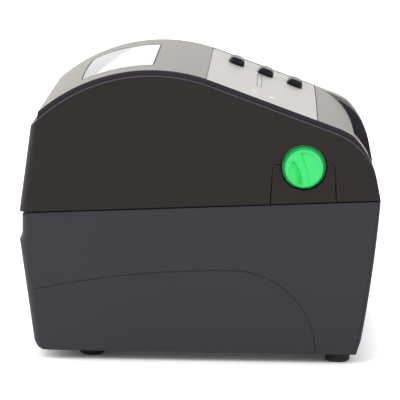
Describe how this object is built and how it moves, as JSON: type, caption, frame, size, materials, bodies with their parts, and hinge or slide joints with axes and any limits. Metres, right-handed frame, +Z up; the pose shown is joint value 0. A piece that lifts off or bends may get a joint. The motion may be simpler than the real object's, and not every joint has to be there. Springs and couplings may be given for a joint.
{
  "type": "label printer",
  "caption": "Desktop label printer with a hinged domed lid, window, sloping control panel, ribbon knob and label exit above a deep base with a roll bay and drive.",
  "frame": {"origin": "centre of the footprint on the table", "axes": "+X to the front with the label exit, +Z up, knob side at -Y"},
  "size_m": [0.2588, 0.2281, 0.2115],
  "materials": {
    "lid_plastic": "fine matt texture",
    "base_plastic": "fine matt texture",
    "silver_plastic": "satin silver",
    "plate_plastic": "satin, pale warm grey",
    "window_clear": "smoked clear plastic",
    "light_clear": "translucent",
    "button_plastic": "satin black",
    "green_plastic": "satin bright green",
    "foot_rubber": "matt",
    "platen_rubber": "smooth matt",
    "frame_steel": "plain zinc sheet",
    "shaft_steel": "ground",
    "head_aluminium": "cast, satin",
    "gear_plastic": "natural acetal",
    "tray_plastic": "matt",
    "guide_plastic": "matt",
    "label_paper": "matt white paper",
    "ribbon_film": "glossy black film",
    "core_card": "card",
    "board_green": "solder mask",
    "chip_black": "matt",
    "motor_steel": "plated can",
    "socket_metal": "plated",
    "socket_black": "matt"
  },
  "bodies": {
    "base": {"base_shell": "base_plastic", "front_bezel": "base_plastic", "rubber_feet": "foot_rubber", "base_hinge_leaves": "frame_steel", "hinge_pins": "shaft_steel", "media_tray": "tray_plastic", "near_side_frame": "frame_steel", "far_side_frame": "frame_steel", "frame_screws": "shaft_steel", "platen_bushes": "gear_plastic", "tear_bar": "frame_steel", "drive_motor": "motor_steel", "idler_stud": "shaft_steel", "main_board": "board_green", "board_parts": "chip_black", "port_panel": "frame_steel", "power_inlet": "socket_black", "usb_port": "socket_metal", "network_port": "socket_metal", "serial_port": "socket_metal", "power_rocker_housing": "socket_black", "sensor_rail": "shaft_steel"},
    "lid": {"lid_shell": "lid_plastic", "silver_cover": "silver_plastic", "window_pane": "window_clear", "window_seal": "lid_plastic", "control_plate": "plate_plastic", "light_bar": "light_clear", "control_board": "board_green", "side_insert": "base_plastic", "near_ribbon_plate": "frame_steel", "far_ribbon_plate": "frame_steel", "head_shaft": "shaft_steel", "pressure_bar": "frame_steel", "head_springs": "shaft_steel", "ribbon_motor": "motor_steel", "lid_hinge_leaves": "frame_steel"},
    "print_head": {"print_head": "head_aluminium"},
    "take_up": {"take_up_spindle": "shaft_steel", "take_up_core": "core_card", "take_up_gear": "gear_plastic", "ribbon_knob": "green_plastic"},
    "supply": {"supply_spindle": "shaft_steel", "ribbon_roll": "ribbon_film"},
    "ribbon_drive": {"ribbon_pinion": "gear_plastic"},
    "platen": {"platen_roller": "platen_rubber", "platen_shaft": "shaft_steel", "platen_gear": "gear_plastic"},
    "idler": {"idler_gear": "gear_plastic"},
    "motor_rotor": {"motor_pinion": "shaft_steel"},
    "media": {"label_roll": "label_paper"},
    "near_guide": {"near_roll_guide": "guide_plastic"},
    "far_guide": {"far_roll_guide": "guide_plastic"},
    "guide_gear": {"guide_pinion": "gear_plastic"},
    "sensor": {"sensor_carriage": "socket_black"},
    "rocker": {"power_rocker": "socket_black"},
    "pause": {"pause_button": "button_plastic"},
    "mode": {"mode_button": "button_plastic"},
    "feed": {"feed_button": "button_plastic"}
  },
  "joints": [
    {"name": "lid_hinge", "type": "hinge", "parent": "base", "child": "lid", "pos_m": [-0.1262, 0, 0.1088], "axis": [0, -1, 0], "range_deg": [0, 95]},
    {"name": "head_pivot", "type": "hinge", "parent": "lid", "child": "print_head", "pos_m": [0.076, 0, 0.1205], "axis": [0, -1, 0], "range_deg": [0, 4], "stiffness_Nm_per_rad": 1, "springref_deg": -11.46, "deforming": ["head_springs"]},
    {"name": "take_up_spin", "type": "hinge", "parent": "lid", "child": "take_up", "pos_m": [0.0742, 0, 0.143], "axis": [0, 1, 0], "continuous": true},
    {"name": "ribbon_pinion_spin", "type": "hinge", "parent": "lid", "child": "ribbon_drive", "pos_m": [0.05341, 0, 0.155], "axis": [0, 1, 0], "continuous": true},
    {"name": "supply_spin", "type": "hinge", "parent": "lid", "child": "supply", "pos_m": [0.0124, 0, 0.1515], "axis": [0, 1, 0], "continuous": true},
    {"name": "platen_spin", "type": "hinge", "parent": "base", "child": "platen", "pos_m": [0.101, 0, 0.104], "axis": [0, 1, 0], "continuous": true},
    {"name": "idler_spin", "type": "hinge", "parent": "base", "child": "idler", "pos_m": [0.07999, 0, 0.08929], "axis": [0, 1, 0], "continuous": true},
    {"name": "motor_spin", "type": "hinge", "parent": "base", "child": "motor_rotor", "pos_m": [0.07459, 0, 0.06915], "axis": [0, 1, 0], "continuous": true},
    {"name": "label_roll_spin", "type": "hinge", "parent": "base", "child": "media", "pos_m": [-0.05, 0, 0.086], "axis": [0, 1, 0], "continuous": true},
    {"name": "near_guide_slide", "type": "slide", "parent": "base", "child": "near_guide", "axis": [0, -1, 0], "range_m": [0, 0.0065], "stiffness_N_per_m": 200, "springref_m": -0.01},
    {"name": "far_guide_slide", "type": "slide", "parent": "base", "child": "far_guide", "axis": [0, 1, 0], "range_m": [0, 0.0065]},
    {"name": "guide_pinion_spin", "type": "hinge", "parent": "base", "child": "guide_gear", "pos_m": [-0.05, 0, 0.028], "axis": [0, 0, 1], "range_deg": [0, 53.5]},
    {"name": "sensor_slide", "type": "slide", "parent": "base", "child": "sensor", "axis": [0, 1, 0], "range_m": [-0.038, 0.038]},
    {"name": "power_rocker_tilt", "type": "hinge", "parent": "base", "child": "rocker", "pos_m": [-0.1113, -0.044, 0.022], "axis": [0, 0, 1], "range_deg": [0, 18]},
    {"name": "pause_press", "type": "slide", "parent": "lid", "child": "pause", "axis": [-0.3387, 0, -0.9409], "range_m": [0, 0.001], "stiffness_N_per_m": 600, "springref_m": -0.001},
    {"name": "mode_press", "type": "slide", "parent": "lid", "child": "mode", "axis": [-0.3387, 0, -0.9409], "range_m": [0, 0.001], "stiffness_N_per_m": 600, "springref_m": -0.001},
    {"name": "feed_press", "type": "slide", "parent": "lid", "child": "feed", "axis": [-0.3387, 0, -0.9409], "range_m": [0, 0.001], "stiffness_N_per_m": 600, "springref_m": -0.001}
  ],
  "couplings": [
    {"joint": "ribbon_pinion_spin", "follows": "take_up_spin", "ratio": -3},
    {"joint": "idler_spin", "follows": "platen_spin", "ratio": -0.6},
    {"joint": "motor_spin", "follows": "platen_spin", "ratio": 2},
    {"joint": "far_guide_slide", "follows": "near_guide_slide", "ratio": 1},
    {"joint": "guide_pinion_spin", "follows": "near_guide_slide", "rad_per_m": 142.86}
  ]
}
